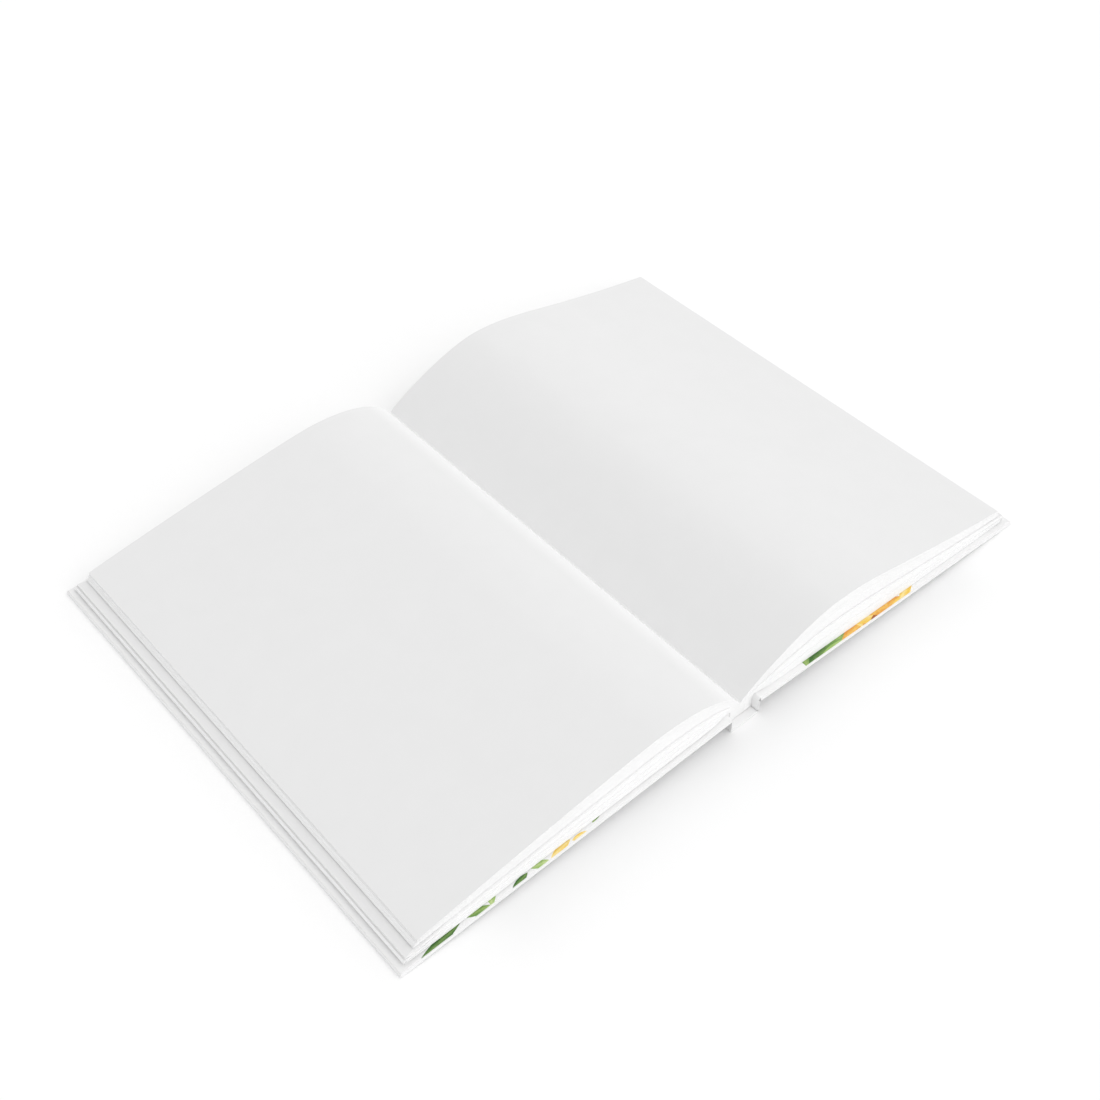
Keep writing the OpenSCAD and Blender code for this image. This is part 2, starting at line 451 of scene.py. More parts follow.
def gauze(name):
    """Open weave of bookbinding gauze, set in glue."""
    surface = Surface(name, (0.78, 0.75, 0.66), roughness=0.9, specular=0.2)
    place = surface.place()
    threads = []
    for axis in ("X", "Y"):
        wave = surface.node("ShaderNodeTexWave", bands_direction=axis, Scale=420.0, Distortion=0.3)
        surface.link(place, wave.inputs["Vector"])
        threads.append(wave.outputs["Fac"])
    weave = surface.math("MAXIMUM", *threads)
    surface.paint(surface.tint(weave, (0.6, 0.56, 0.45), (0.84, 0.82, 0.75)))
    surface.bump(weave, distance=0.08)
    return surface.material


# A leaf or petal of the print: its middle in millimetres on the flat endpapers, where x runs from
# the spine and y is measured at the tail, its angle in degrees, half its length and width, and
# its two colours. The head has the same print, mirrored.
Leaf = namedtuple("Leaf", "x y angle half_l half_w colors")
DARK_GREEN = ((0.22, 0.36, 0.10), (0.05, 0.15, 0.03))
GREEN = ((0.42, 0.56, 0.18), (0.15, 0.30, 0.07))
LIGHT_GREEN = ((0.62, 0.72, 0.36), (0.32, 0.50, 0.14))
YELLOW = ((0.95, 0.82, 0.42), (0.86, 0.58, 0.10))
ORANGE = ((0.92, 0.62, 0.16), (0.74, 0.32, 0.05))
RUST = ((0.66, 0.26, 0.05), (0.34, 0.10, 0.03))
LEAVES = [
    Leaf(-123, -100.6, 6, 8.5, 1.3, DARK_GREEN), Leaf(-117, -94, 38, 9, 2.6, GREEN),
    Leaf(-108, -100.2, -12, 4.5, 1.2, GREEN), Leaf(-100, -95.5, 60, 7.5, 2.2, LIGHT_GREEN),
    Leaf(-92, -100.9, 12, 4, 1.1, DARK_GREEN), Leaf(-83.5, -100.3, -16, 3.6, 1.2, LIGHT_GREEN),
    Leaf(-75, -100.5, 7, 4.6, 1.2, YELLOW), Leaf(-71, -94.5, 50, 6.5, 2.2, YELLOW),
    Leaf(-67.5, -100.9, -4, 3, 0.8, YELLOW), Leaf(-57, -97.6, 30, 5, 1.6, GREEN),
    Leaf(31, -101, 10, 11, 2.8, DARK_GREEN), Leaf(27, -94, 64, 9, 2.8, GREEN),
    Leaf(39, -98.6, -22, 9, 2.6, GREEN), Leaf(36, -101.6, 4, 7, 1.4, LIGHT_GREEN),
    Leaf(50, -100.4, 7, 9, 2.4, ORANGE), Leaf(54, -93, 78, 9, 3.2, YELLOW),
    Leaf(57, -99.2, -18, 9, 2.6, YELLOW), Leaf(60, -101.4, 12, 5, 1.3, RUST),
    Leaf(67, -100.2, -6, 9, 2.6, ORANGE), Leaf(71, -94, 55, 9, 3, ORANGE),
    Leaf(73, -101.3, 5, 7, 1.1, YELLOW), Leaf(79, -98.8, 24, 7, 1.8, YELLOW),
    Leaf(90, -94.5, 34, 8, 2.2, LIGHT_GREEN), Leaf(99, -92, 62, 7, 2, GREEN),
]


# How much the ink is mottled, and how far a leaf runs from its rib's colour to its rim's
INK_WEAR, INK_TONE = 0.9, 0.75


def printed_paper(name, color):
    """White endpaper with loose leaves and petals along its head and tail."""
    surface = Surface(name, color, roughness=0.6, specular=0.35)
    math_of = surface.math
    axes = surface.axes(surface.flat_place())
    folded = surface.node("ShaderNodeCombineXYZ")
    surface.link(axes["X"], folded.inputs["X"])
    surface.link(math_of("MULTIPLY", math_of("ABSOLUTE", axes["Y"]), -1), folded.inputs["Y"])
    place = folded.outputs["Vector"]
    worn = math_of("MULTIPLY", surface.noise(place, scale=900, detail=3), INK_WEAR)
    printed = color
    for leaf in LEAVES:
        local = surface.node(
            "ShaderNodeMapping",
            vector_type="TEXTURE",
            Location=(leaf.x * MM, leaf.y * MM, 0),
            Rotation=(0, 0, math.radians(leaf.angle)),
            Scale=(leaf.half_l * MM, leaf.half_w * MM, 1),
        )
        surface.link(place, local.inputs["Vector"])
        parts = surface.axes(local.outputs["Vector"])
        # The outline is two bows that meet in points at both ends
        width = math_of("SUBTRACT", 1, math_of("MULTIPLY", parts["X"], parts["X"]))
        from_rib = math_of("ABSOLUTE", parts["Y"])
        inside = math_of("LESS_THAN", from_rib, width)
        tone = math_of("MULTIPLY", math_of("ADD", from_rib, worn), INK_TONE)
        printed = surface.mix(inside, printed, surface.tint(tone, *leaf.colors, low=0.1, high=0.8))
    surface.paint(printed)
    tooth = surface.noise(surface.place(), scale=2000, detail=4)
    surface.bump(tooth, distance=0.008, strength=0.4)
    return surface.material


PAGE_COLOR = (0.806, 0.806, 0.806)
# Painted light: the paper is lighter in the gutter's fold
GUTTER_PAINTED_LIGHT_COLOR = (0.93, 0.93, 0.93)
# Cut edges are lighter than the pages: painted light for the tail and head faces
EDGE_PAINTED_LIGHT_COLOR = (0.89, 0.89, 0.89)
# Lower groups' cut edges are lighter still: painted light against their shade
LOWER_EDGE_PAINTED_LIGHT_COLOR = (0.905, 0.905, 0.905)
# Upright cut faces at the fore edge are lightest: painted light on their shaded side
FORE_FACE_PAINTED_LIGHT_COLOR = (0.99, 0.99, 0.99)
ENDPAPER_COLOR = (0.865, 0.865, 0.865)
CASE_COLOR = (0.85, 0.85, 0.85)

page_paper = open_pages("page_paper", PAGE_COLOR, GUTTER_PAINTED_LIGHT_COLOR)
page_edges = sheet_edges("page_edges", EDGE_PAINTED_LIGHT_COLOR, streak=0.9)
lower_edges_painted_light = sheet_edges("lower_edges_painted_light", LOWER_EDGE_PAINTED_LIGHT_COLOR, streak=0.97)
fore_faces_painted_light = sheet_edges("fore_faces_painted_light", FORE_FACE_PAINTED_LIGHT_COLOR, streak=0.97)
flyleaf_paper = paper("flyleaf_paper", ENDPAPER_COLOR)
endpaper_print = printed_paper("endpaper_print", ENDPAPER_COLOR)
case_paper = laminated("case_paper", CASE_COLOR)
board_grey = grey_board("board_grey")
gauze_weave = gauze("gauze_weave")


# Pages


# A row of the stack runs from the glued back to the fore edge. It has its share of the whole
# thickness, its lift along the ends and at the fore edge, its steps back from the ends and the
# fore edge, and its skew.
Row = namedtuple("Row", "share lift fore_lift end_step fore_step skew")
# Share of a sheet's thickness that its grooves take on each side, and the depth of a groove
EDGE_GAP = 0.16
GROOVE = 0.03
# Most by which a sheet stands back from the others at random, and its most random skew
END_STEP, FORE_STEP = 0.05, 0.12
SKEW = 0.08
# Share by which slots open at the glued back, and how far from the fore edge they open fully
BACK_OPENING = 0.12
FORE_OPENING = 14.0
# Points up the glued back, over the bend to its end, and from there to the fore edge. The slots
# have opened at the ends OPENING_STEPS points beyond the bend.
RISE_POINTS, BEND_POINTS, FLAT_POINTS = 9, 22, 60
BEND_END = 13.0
OPENING_STEPS = 3
PAGE_STATIONS = 15
PAGE_SEED = 7
# Places of the pages' materials
PAPER_MARK, EDGE_MARK, LOWER_MARK, FORE_PAINTED_LIGHT_MARK = range(4)


def stack_rows(half, dice):
    """Rows of a half from its lowest sheet to the open page: two for each sheet, one between."""
    rows = []
    groups = list(reversed(half.groups))
    for n, (group, above) in enumerate(zip(groups, groups[1:] + [None])):
        low, high = group.share, above.share if above else 1
        count = max(2, round((high - low) * SHEETS))
        lift_low, fore_low = group.slot / 2, group.gap / 2 if n > 0 else group.gap
        lift_high, fore_high = (-above.slot / 2, -above.gap / 2) if above else (0, 0)

        def row(f, end_step, fore_step, skew):
            lift = (1 - f) * lift_low + f * lift_high
            fore_lift = (1 - f) * fore_low + f * fore_high
            end_step += group.ends
            fore_step += group.setback + group.slant * f
            return Row(low + f * (high - low), lift, fore_lift, end_step, fore_step, skew)

        if n > 0:
            rows.append(row(0, group.slot * SLOT_DEPTH_RATIO, FORE_SLOT_DEPTH, 0))
        for i in range(count):
            end_step = dice.uniform(0, END_STEP)
            fore_step = dice.uniform(0, FORE_STEP)
            skew = dice.uniform(-SKEW, SKEW)
            first = 0 if i == 0 else (i + EDGE_GAP) / count
            last = 1 if i == count - 1 else (i + 1 - EDGE_GAP) / count
            rows.append(row(first, end_step, fore_step, skew))
            rows.append(row(last, end_step, fore_step, skew))
            if i < count - 1:
                rows.append(row((i + 1) / count, GROOVE + END_STEP, GROOVE + FORE_STEP, 0))
        if above:
            ledge = max(0, above.setback - group.setback - group.slant)
            end_ledge = max(0, above.ends - group.ends) + above.slot * SLOT_DEPTH_RATIO
            rows.append(row(1, end_ledge, ledge + FORE_SLOT_DEPTH, 0))
    return rows


def stack_points(half, rows, ys):
    """Points of a half, rows x stations x ys x 3, with stations from the back to the fore edge."""
    curve = page_curve(half)
    near = curve[curve[:, 0] < BEND_END]
    near = np.concatenate([near, [[BEND_END, np.interp(BEND_END, curve[:, 0], curve[:, 1])]]])
    lower = np.concatenate([
        resample([[HALF_T, BACK_Z], [HALF_T, BEND_Z]], RISE_POINTS)[:-1],
        resample(underside(0, BEND_END)[1:], BEND_POINTS),
    ])
    upper = np.concatenate([
        resample([[0, BACK_Z], [0, GUTTER_Z]], RISE_POINTS)[:-1],
        resample(near, BEND_POINTS),
    ])
    first = len(lower)
    stations = first + FLAT_POINTS - 1
    opening = smoothstep(RISE_POINTS, first + OPENING_STEPS, np.arange(stations))
    opened = BACK_OPENING + (1 - BACK_OPENING) * opening
    points = np.zeros((len(rows), stations, len(ys), 3))
    t = np.linspace(0, 1, FLAT_POINTS)[1:]
    for k, row in enumerate(rows):
        fan = (1 - row.share) * lower + row.share * upper
        for v, y in enumerate(ys):
            end = REACH - row.fore_step + row.skew * y * 2
            x = BEND_END + (end - BEND_END) * t
            thick = np.interp(x, curve[:, 0], curve[:, 1] - under(curve[:, 0]))
            flat = np.column_stack([x, under(x) + row.share * thick])
            line = np.concatenate([fan, flat])
            lift = row.lift * opened
            lift[first:] += (row.fore_lift - row.lift) * smoothstep(end - FORE_OPENING, end, x)
            back = row.end_step * opened
            if row.share in (0, 1):
                back = back * opening
            points[k, :, v, 0] = half.side * line[:, 0]
            points[k, :, v, 1] = y * (PAGE_H - 2 * back)
            points[k, :, v, 2] = line[:, 1] + lift
    return points


def build_pages():
    """Both halves of the block as one closed mesh, every sheet with its own edge."""
    dice = random.Random(PAGE_SEED)
    sheet = Sheet()
    ys = np.linspace(-0.5, 0.5, PAGE_STATIONS)
    for half in HALVES:
        rows = stack_rows(half, dice)
        points = stack_points(half, rows, ys)
        share = np.array([row.share for row in rows])

        def faces(part):
            sheet.grid(part, part[..., :2] * MM, PAPER_MARK)

        def edges(part, axis, mark):
            """Cut edges, whose flat places run along an axis and up through the layers."""
            layer = np.broadcast_to((share * SHEETS)[:, None], part.shape[:2])
            sheet.grid(part, np.stack([part[..., axis] * MM, layer], -1), mark)

        faces(points[-1, RISE_POINTS - 1:])
        faces(points[0])
        faces(points[:, 0])
        # The lower groups' ends get their lighter edge paper: painted light against their shade
        lower = share[:-1] < half.groups[1].share
        for v in (0, -1):
            edges(points[:, :, v], 0, np.where(lower, LOWER_MARK, EDGE_MARK))
        # At the fore edge the faces that lie flat are the ledges, which are sheets seen from above
        run, rise = np.abs(np.diff(points[:, -1, len(ys) // 2, ::2], axis=0)).T
        # The upright faces get the lightest edge paper: painted light on their shaded side
        edges(points[:, -1], 1, np.where(run > rise, PAPER_MARK, FORE_PAINTED_LIGHT_MARK))
    materials = [page_paper, page_edges, lower_edges_painted_light, fore_faces_painted_light]
    pages = add_object("pages", sheet.mesh("pages"), materials)
    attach(pages, PAGES_BODY)
    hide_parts("page_block")


# The folded endpaper fills the joint of a cover. Its outer side runs from x JOINT_OUT_X beside the
# glued back to JOINT_TOP_X under the pages, it goes down to JOINT_FOOT_Z, and its ends stand back
# by JOINT_BACK from those of the pages.
JOINT_BACK = 0.1
JOINT_OUT_X, JOINT_TOP_X = 6.1, 7.5
JOINT_FOOT_Z = 0.87
JOINT_POINTS = 20
FLYLEAF_SETBACK = 0.3
FLYLEAF_CLEAR = 0.02
FLYLEAF_STATIONS, FLYLEAF_ROWS = 110, 9
# The flyleaf grows to its full height between these distances beyond the hinge line
WIDEN_START, WIDEN_END = 0.5, 5


def joint_line(x_end):
    """Underside of the folded endpaper, which fills the joint between the back and the wall."""
    angles = np.linspace(0, math.pi / 2, JOINT_POINTS)
    top_z = under(JOINT_TOP_X) - FLYLEAF_T / math.cos(TILT)
    reach = JOINT_TOP_X - JOINT_OUT_X
    fold = np.column_stack([
        JOINT_TOP_X - reach * np.cos(angles),
        BEND_Z + (top_z - BEND_Z) * np.sin(angles),
    ])
    end = [[x_end, under(x_end) - FLYLEAF_T / math.cos(TILT)]]
    return np.concatenate([[[JOINT_OUT_X, BACK_Z]], fold, end])


def build_flyleaf(half):
    """Loose endpaper that lies under the pages and bends over the hinge wall."""
    x_end = REACH - FLYLEAF_SETBACK
    lines = [underside(FLYLEAF_CLEAR, x_end), joint_line(x_end)]
    for line in lines:
        line[0, 1] = JOINT_FOOT_Z
    lines = [resample(line, FLYLEAF_STATIONS) for line in lines]
    widened = smoothstep(HINGE_X + WIDEN_START, HINGE_X + WIDEN_END, lines[0][:, 0])
    out = -JOINT_BACK + (FLYLEAF_OUT + JOINT_BACK) * widened
    ys = np.linspace(-1, 1, FLYLEAF_ROWS)[None, :] * (PAGE_H / 2 + out)[:, None]
    upper, lower = (
        np.array([[[half.side * x, y, z] for y in row] for (x, z), row in zip(line, ys)])
        for line in lines
    )
    flat = upper[..., :2] * MM
    name = half.name + "_flyleaf"
    leaf = thick_sheet(name + "_sheet", upper, lower, flat, flyleaf_paper)
    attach(leaf, PAGES_BODY)
    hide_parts(name)


# Covers


def cover_point(side, x, y, z):
    """Point at a place on a cover: x beyond the hinge line, y across, z above its outer face."""
    return [
        side * (HINGE_X + x * math.cos(TILT) + z * math.sin(TILT)),
        y,
        HINGE_Z - x * math.sin(TILT) + z * math.cos(TILT),
    ]


# The wrap's fold round the board, its rounded corners, half the gap between its turn-ins at a
# corner, and where it starts to be flat
FOLD_R = 0.3
CORNER_R = 0.35
SEAM = 0.07
FLAT_INSET = 2
# The wrap's layer that goes over the hinge line: where it starts and ends there, its places along
# the cover on its outer and inner side, its rows down the wall and how low it ends
LIP_START, LIP_TOP = 0.3, 0.03
LIP_OUTER, LIP_INNER = (LIP_START, 0.2, 0.1, LIP_TOP), (LIP_START, 0.16, 0.02, -0.12)
LIP_ROWS = 8
LIP_LOW = 0.45
LIP_FLAT_STEP = 0.6
# Rows of the wrap's profile: the turn-in, and each of the two arcs round the board's edge
TURNED_ROWS, ARC_ROWS = 3, 5
MIDDLE_ROW = TURNED_ROWS + ARC_ROWS
FOLDED_ROWS = TURNED_ROWS + 2 * ARC_ROWS
RUN_POINTS, CORNER_POINTS = 24, 4


def wrap_profile(depth):
    """Insets and heights of the wrap's face, from the turn-in's edge round and under the board."""
    top = BOARD_TOP + WRAP_T - depth
    radius = FOLD_R - depth
    upper_z, lower_z = BOARD_TOP + WRAP_T - FOLD_R, FOLD_R
    arc = np.linspace(0, math.pi / 2, ARC_ROWS)
    turned_in = [[TURN_IN, top], [TURN_IN / 2, top], [FLAT_INSET, top]]
    over = [[FOLD_R - radius * math.sin(a), upper_z + radius * math.cos(a)] for a in arc]
    below = [[FOLD_R - radius * math.cos(a), lower_z - radius * math.sin(a)] for a in arc]
    outside = [[inset, depth] for inset in (FLAT_INSET, TURN_IN, COVER_H / 4, COVER_H / 2)]
    return turned_in + over + below + outside


def edge_runs(inset, gap):
    """Lines at an inset from a cover's edges: along its tail, its fore edge and its head."""
    w, h = COVER_W - inset, COVER_H / 2 - inset
    r = max(0.0, CORNER_R - inset)
    turn = np.linspace(0, math.pi / 4, CORNER_POINTS)
    tail = [[LIP_START + (w - r - LIP_START) * t, -h] for t in np.linspace(0, 1, RUN_POINTS)]
    tail += [[w - r + r * math.sin(a), -h + r - r * math.cos(a)] for a in turn[1:]]
    fore = [[w - r + r * math.cos(a), -h + r - r * math.sin(a)] for a in turn[::-1]]
    fore += [[w, (h - r) * t] for t in np.linspace(-1, 1, RUN_POINTS)[1:-1]]
    fore += [[x, -y] for x, y in fore[CORNER_POINTS - 1::-1]]
    head = [[x, -y] for x, y in tail[::-1]]
    tail, fore, head = (np.array(run) for run in (tail, fore, head))
    tail[-1, 0] -= gap
    fore[0, 1] += gap
    fore[-1, 1] -= gap
    head[0, 0] -= gap
    return tail, fore, head


def add_wrap_ring(sheet, side):
    """The wrap under one board, round its three free edges and in over it."""
    faces = []
    for depth in (0, WRAP_T):
        profile = wrap_profile(depth)
        lines = [
            edge_runs(inset, SEAM if n < TURNED_ROWS else 0) for n, (inset, _) in enumerate(profile)
        ]
        faces.append([
            np.array([
                [cover_point(side, x, y, height) for x, y in runs[part]]
                for runs, (_, height) in zip(lines, profile)
            ])
            for part in range(3)
        ])
    flat_lines = [edge_runs(inset, 0) for inset, _ in wrap_profile(0)]
    for part, (outer, inner) in enumerate(zip(*faces)):
        flat = np.array([runs[part] for runs in flat_lines]) * MM
        sheet.grid(outer, flat)
        sheet.grid(inner, flat)
        sheet.rim(outer[0], inner[0], flat[0])
        for end, is_seam in ((0, part > 0), (-1, part < 2)):
            rows = slice(0, TURNED_ROWS + 1 if is_seam else FOLDED_ROWS)
            sheet.rim(outer[rows, end], inner[rows, end], flat[rows, end])
            if not is_seam:
                # Cap beside the hinge line, between the upper and the lower half of the fold
                above = slice(TURNED_ROWS - 1, MIDDLE_ROW)
                below = slice(FOLDED_ROWS, MIDDLE_ROW - 1, -1)
                sheet.grid(np.stack([outer[above, end], outer[below, end]]),
                           np.stack([flat[above, end], flat[below, end]]))


def add_wrap_lip(sheet, side):
    """The layer under the board, on over the hinge line and down the outside of the wall."""
    insets = [inset for inset, _ in wrap_profile(0)][FOLDED_ROWS - 1:]
    across = [inset - COVER_H / 2 for inset in insets]
    across = np.array(across + [-y for y in across[-2::-1]])
    widen = (COVER_H / 2) / across[-1]
    faces = []
    for depth, xs in ((0, LIP_OUTER), (WRAP_T, LIP_INNER)):
        rows = []
        for n, x in enumerate(xs):
            scale = 1 + (widen - 1) * n / (len(xs) - 1)
            rows.append([cover_point(side, x, y * scale, depth) for y in across])
        for z in np.linspace(HINGE_Z - LIP_TOP + depth / 2, LIP_LOW, LIP_ROWS):
            rows.append([[side * (HINGE_X - depth), y * widen, z] for y in across])
        faces.append(np.array(rows))
    outer, inner = faces
    steps = -np.arange(len(outer)) * LIP_FLAT_STEP
    flat = np.array([[(x, y) for y in across] for x in steps]) * MM
    sheet.grid(outer, flat)
    sheet.grid(inner, flat)
    for edge in (np.s_[-1], np.s_[:, 0], np.s_[:, -1]):
        sheet.rim(outer[edge], inner[edge], flat[edge])


def build_case_wrap(half):
    """Wrap of one cover with its turn-ins, and its way over the hinge line down the hinge wall."""
    sheet = Sheet()
    add_wrap_ring(sheet, half.side)
    add_wrap_lip(sheet, half.side)
    name = half.name + "_case_wrap"
    wrap = add_object(name, sheet.mesh(name), [case_paper])
    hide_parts(half.name + "_wrap")
    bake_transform(wrap)


# The pasted endpaper comes down beside the turn-ins, between these distances from their edges
RAMP_START, RAMP_MIDDLE, RAMP_END = -0.2, 0.4, 1.2
PASTE_EDGE_R = 0.08
PASTE_INSETS = [
    PASTE_MARGIN, PASTE_MARGIN + PASTE_EDGE_R, PASTE_MARGIN + 3,
    TURN_IN + RAMP_START, TURN_IN + RAMP_MIDDLE, TURN_IN + RAMP_END,
]
PASTE_FAR_ENDS = [30, 60]
PASTE_FAR_X, PASTE_MIDDLE_X, PASTE_MIDDLE_COUNT = 30, 20, 8
PASTE_NEAR_XS = [10, 5, 2.5, 1.4]
# It bends from BEND_X beyond the hinge line into the wall, and the bend ends BEND_DROP below that
# line. WALL_T_SHARE is the share of its thickness that it has beside the wall.
BEND_X = 0.8
BEND_DROP = 0.1
BEND_STEPS = 9
BEND_FLAT_STEP = 0.4
WALL_ZS = (4, 2.6, 0.9)
WALL_T_SHARE = 0.93


def endpaper_height(x, y):
    """Top of the pasted endpaper, which rises over the turn-ins."""
    from_edge = min(COVER_W - x, COVER_H / 2 - abs(y))
    ramp = smoothstep(TURN_IN + RAMP_START, TURN_IN + RAMP_END, from_edge)
    return BOARD_TOP + PASTE_T + WRAP_T * (1 - ramp)


def build_endpaper(half):
    """Endpaper pasted inside a cover and down the inner side of its hinge wall."""
    side = half.side
    wall_x = HINGE_X - WALL_T
    ends = [COVER_H / 2 - inset for inset in PASTE_INSETS + PASTE_FAR_ENDS]
    ys = [-y for y in ends] + [0] + ends[::-1]
    xs = [COVER_W - inset for inset in PASTE_INSETS]
    xs += list(np.linspace(COVER_W - PASTE_FAR_X, PASTE_MIDDLE_X, PASTE_MIDDLE_COUNT))
    xs += PASTE_NEAR_XS + [BEND_X]

    def column(y, depth):
        """Points from the fore edge to the wall's foot, at a depth below the sheet's upper side."""
        line = []
        for x in xs:
            at_edge = x == xs[0] or abs(y) == ends[0]
            rounding = PASTE_EDGE_R if at_edge and depth == 0 else 0
            line.append(cover_point(side, x, y, endpaper_height(x, y) - depth - rounding))
        peak_x, _, peak_z = cover_point(side, BEND_X, y, endpaper_height(BEND_X, y) - depth)
        peak_x = abs(peak_x)
        foot_x, foot_z = wall_x + depth * WALL_T_SHARE, HINGE_Z - BEND_DROP
        for a in np.linspace(0, math.pi / 2, BEND_STEPS)[1:]:
            x = peak_x - (peak_x - foot_x) * math.sin(a)
            line.append([side * x, y, foot_z + (peak_z - foot_z) * math.cos(a)])
        line += [[side * foot_x, y, z] for z in WALL_ZS]
        return line

    upper = np.array([column(y, 0) for y in ys])
    lower = np.array([column(y, PASTE_T) for y in ys])
    beyond = np.arange(1, upper.shape[1] - len(xs) + 1)
    along = np.concatenate([xs, BEND_X - beyond * BEND_FLAT_STEP])
    flat = np.array([[(side * x * MM, y * MM) for x in along] for y in ys])
    leaf = thick_sheet(half.name + "_endpaper", upper, lower, flat, endpaper_print)
    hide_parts(half.name + "_pastedown")
    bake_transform(leaf)


# Places across the spine strip, as shares of half its width, and the shares of SPINE_SIDE_R by
# which its rounded sides rise there
SPINE_SIDES = [
    (-1, 1), (-0.97, 0.35), (-0.9, 0), (-0.5, 0), (0, 0), (0.5, 0), (0.9, 0), (0.97, 0.35), (1, 1),
]
SPINE_SIDE_R = 0.4
SPINE_CLEAR = 0.05
SPINE_FLAT_INSET = 4
SPINE_FAR_INSETS = (40, 70)


def build_spine_wrap():
    """Strip of the wrap across the spine, folded in over the spine card at tail and head."""
    top = WRAP_T + INLAY_T + WRAP_T
    half_h = COVER_H / 2
    inner_x, outer_x = HINGE_X - WALL_T - SPINE_CLEAR, HINGE_X - SPINE_CLEAR
    fold_y = half_h - FOLD_R
    arc = np.linspace(0, math.pi / 2, ARC_ROWS)
    path = [(half_h - TURN_IN, top), (half_h - SPINE_FLAT_INSET, top)]
    path += [(fold_y + FOLD_R * math.sin(a), top - FOLD_R + FOLD_R * math.cos(a)) for a in arc]
    path += [(fold_y + FOLD_R * math.cos(a), FOLD_R - FOLD_R * math.sin(a)) for a in arc]
    path += [(half_h - inset, 0) for inset in (SPINE_FLAT_INSET, TURN_IN, *SPINE_FAR_INSETS)]
    path = path + [(0, 0)] + [(-y, z) for y, z in reversed(path)]
    rows = []
    for y, z in path:
        under_share = 1 - min(1, z / top)
        half_w = inner_x + (outer_x - inner_x) * under_share
        rise = SPINE_SIDE_R * under_share
        rows.append([[half_w * x, y, z + rise * lift] for x, lift in SPINE_SIDES])
    flat = [[(x * MM, y * MM) for x, y, z in row] for row in rows]
    sheet = Sheet()
    sheet.grid(rows, flat)
    strip = add_object("spine_strip", sheet.mesh("spine_strip"), [case_paper])
    thicken(strip, WRAP_T)
    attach(strip, PAGES_BODY)
    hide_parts("spine_wrap")


def dress_cad_nodes():
    """Hidden pieces keep their meshes and get their own materials."""
    finishes = {
        "front_board": board_grey,
        "back_board": board_grey,
        "spine_inlay": board_grey,
        "spine_lining": gauze_weave,
    }
    for name, material in finishes.items():
        mesh = frame["nodes"][name].data
        mesh.materials.clear()
        mesh.materials.append(material)


# Stage, light and camera


# A soft shadow is painted on the floor in front of the tail, FLOOR_PAINTED_SHADOW deep at most. The
# painted shadow starts at FLOOR_EDGE_SHARE on the edge of a box under the journal, is full where
# its share reaches 1, and then fades. The share grows by 1 over each FLOOR_FADE metres away from
# the box.
FLOOR_HALF_SIZE = 6.0
FLOOR_Z = -0.00002
FLOOR_WHITE = 0.985
FLOOR_PAINTED_SHADOW = 0.09
FLOOR_FADE = 0.0075
FLOOR_EDGE_SHARE = 0.35
SHADOW_HALF_W, SHADOW_FAR_Y, SHADOW_NEAR_Y = 0.1, -0.06, -0.1015


def build_stage():
    """White floor that fades into a white background, with a painted shadow by the tail."""
    surface = Surface("floor_painted_shadow", (FLOOR_WHITE,) * 3, roughness=1.0, specular=0.0)
    math_of = surface.math
    axes = surface.axes(surface.place())
    middle_y, half_d = (SHADOW_FAR_Y + SHADOW_NEAR_Y) / 2, (SHADOW_FAR_Y - SHADOW_NEAR_Y) / 2
    squares = []
    for axis, middle, half_size in (("X", 0, SHADOW_HALF_W), ("Y", middle_y, half_d)):
        away = math_of("ABSOLUTE", math_of("SUBTRACT", axes[axis], middle))
        outside = math_of("MAXIMUM", math_of("SUBTRACT", away, half_size), 0)
        squares.append(math_of("MULTIPLY", outside, outside))
    distance = math_of("SQRT", math_of("ADD", *squares))
    share = math_of("ADD", math_of("DIVIDE", distance, FLOOR_FADE), FLOOR_EDGE_SHARE)
    fading = math_of("EXPONENT", math_of("SUBTRACT", 1, share))
    # Depth of the shadow painted on the floor
    painted_shadow = math_of("MULTIPLY", math_of("MULTIPLY", share, fading), FLOOR_PAINTED_SHADOW)
    level = math_of("SUBTRACT", FLOOR_WHITE, painted_shadow)
    grey = surface.node("ShaderNodeCombineColor")
    for channel in ("Red", "Green", "Blue"):
        surface.link(level, grey.inputs[channel])
    surface.paint(grey.outputs["Color"])

    size = FLOOR_HALF_SIZE
    mesh = bpy.data.meshes.new("floor")
    corners = [(-size, -size, 0), (size, -size, 0), (size, size, 0), (-size, size, 0)]
    mesh.from_pydata(corners, [], [(0, 1, 2, 3)])
    mesh.materials.append(surface.material)
    floor = bpy.data.objects.new("floor", mesh)
    floor.location.z = FLOOR_Z
    bpy.context.scene.collection.objects.link(floor)


# Level of the soft light, how it grows to the side and front, and a wide main light
AMBIENT = 0.92
LIGHT_SIDE = (0.19, -0.16, 0)
KEY_FROM = (0.25, -0.6, 0.76)
KEY_LEVEL, KEY_FOCUS = 0.6, 6


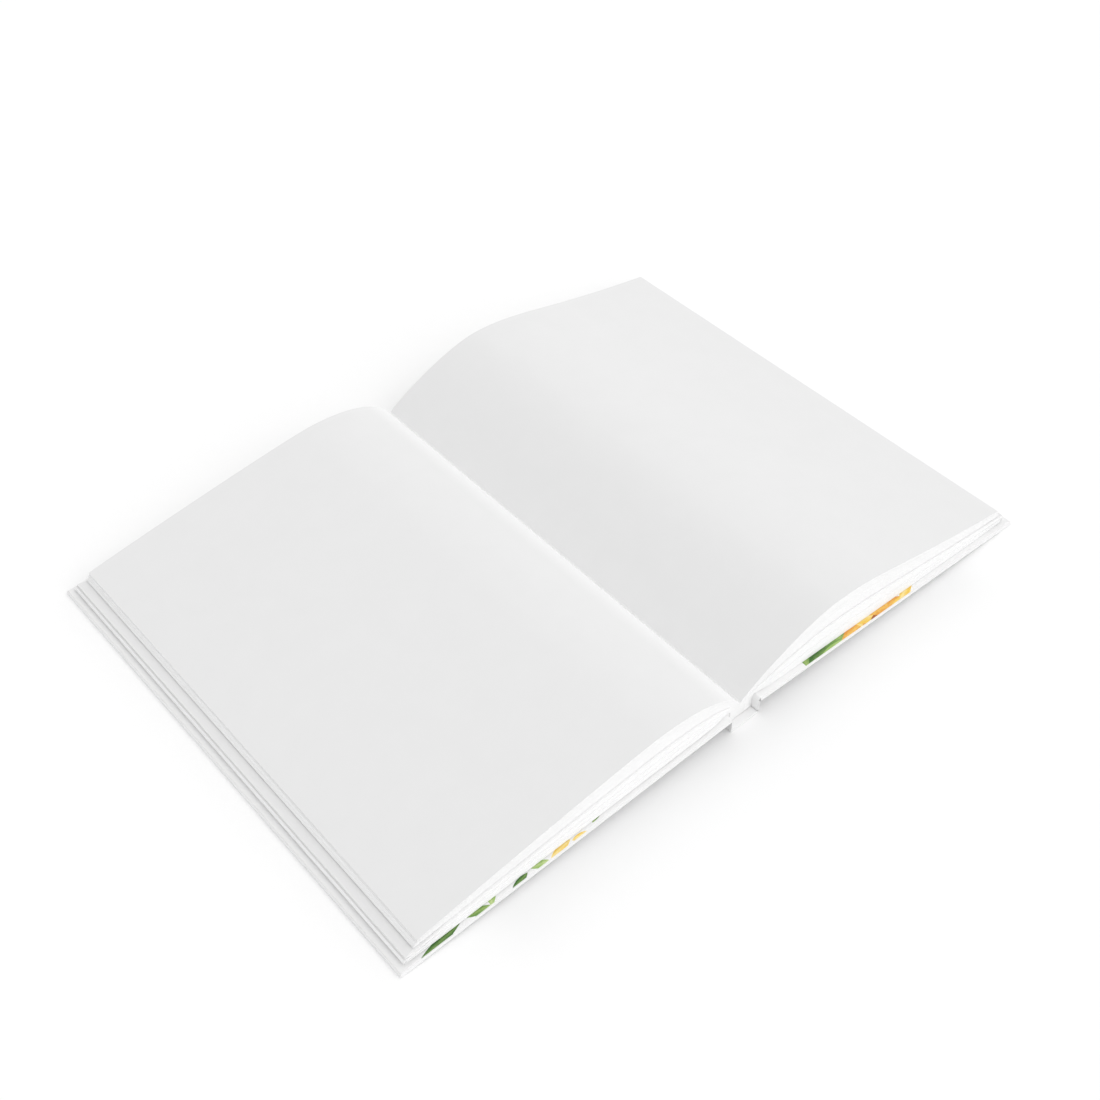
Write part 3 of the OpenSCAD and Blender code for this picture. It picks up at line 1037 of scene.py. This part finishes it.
def build_light():
    """Soft light from all round, with a wide main light from the front and above."""
    world = bpy.data.worlds.new("studio")
    bpy.context.scene.world = world
    world.use_nodes = True
    graph = Graph(world.node_tree)
    graph.nodes.clear()
    place = graph.place("Generated")
    towards = []
    for direction in (LIGHT_SIDE, KEY_FROM):
        dot = graph.node("ShaderNodeVectorMath", operation="DOT_PRODUCT")
        dot.inputs[1].default_value = direction
        graph.link(place, dot.inputs[0])
        towards.append(dot.outputs["Value"])
    soft = graph.math("ADD", towards[0], AMBIENT)
    facing = graph.math("MAXIMUM", towards[1], 0)
    key = graph.math("MULTIPLY", graph.math("POWER", facing, KEY_FOCUS), KEY_LEVEL)
    # The camera and glossy surfaces see a plain white background in place of the light
    ray = graph.node("ShaderNodeLightPath").outputs
    seen = graph.math("MAXIMUM", ray["Is Camera Ray"], ray["Is Glossy Ray"])
    white = (1, 1, 1, 1)
    lit = graph.node("ShaderNodeBackground", Color=white)
    background = graph.node("ShaderNodeBackground", Color=white, Strength=1)
    graph.link(graph.math("ADD", soft, key), lit.inputs["Strength"])
    mix = graph.node("ShaderNodeMixShader")
    out = graph.node("ShaderNodeOutputWorld")
    for i, output in enumerate((seen, lit.outputs[0], background.outputs[0])):
        graph.link(output, mix.inputs[i])
    graph.link(mix.outputs[0], out.inputs["Surface"])


# Place in metres, then azimuth, elevation and roll in degrees, and focal length in millimetres
CAMERA_AT = (-0.25488, -0.29726, 0.40917)
CAMERA_TURN = (-40.66, 45.94, -0.106)
CAMERA_LENS, CAMERA_SENSOR = 49.6, 36
CAMERA_CLIP = (0.01, 20)


def build_camera():
    """Camera at the photo's place, turned by its azimuth, elevation and a slight roll."""
    azimuth, elevation, roll = (math.radians(a) for a in CAMERA_TURN)
    outward = Vector((math.sin(azimuth), -math.cos(azimuth), 0))
    back = outward * math.cos(elevation) + Vector((0, 0, math.sin(elevation)))
    level = Vector((math.cos(azimuth), math.sin(azimuth), 0))
    upright = back.cross(level)
    right = level * math.cos(roll) + upright * math.sin(roll)
    up = upright * math.cos(roll) - level * math.sin(roll)
    data = bpy.data.cameras.new("camera")
    data.lens = CAMERA_LENS
    data.sensor_width = CAMERA_SENSOR
    data.clip_start, data.clip_end = CAMERA_CLIP
    camera = bpy.data.objects.new("camera", data)
    turn = Matrix((right, up, back)).transposed().to_4x4()
    camera.matrix_world = Matrix.Translation(CAMERA_AT) @ turn
    bpy.context.scene.collection.objects.link(camera)
    bpy.context.scene.camera = camera


build_pages()
for half in HALVES:
    build_flyleaf(half)
    build_case_wrap(half)
    build_endpaper(half)
build_spine_wrap()
dress_cad_nodes()
build_stage()
build_light()
build_camera()
bpy.context.scene.view_settings.view_transform = "Standard"
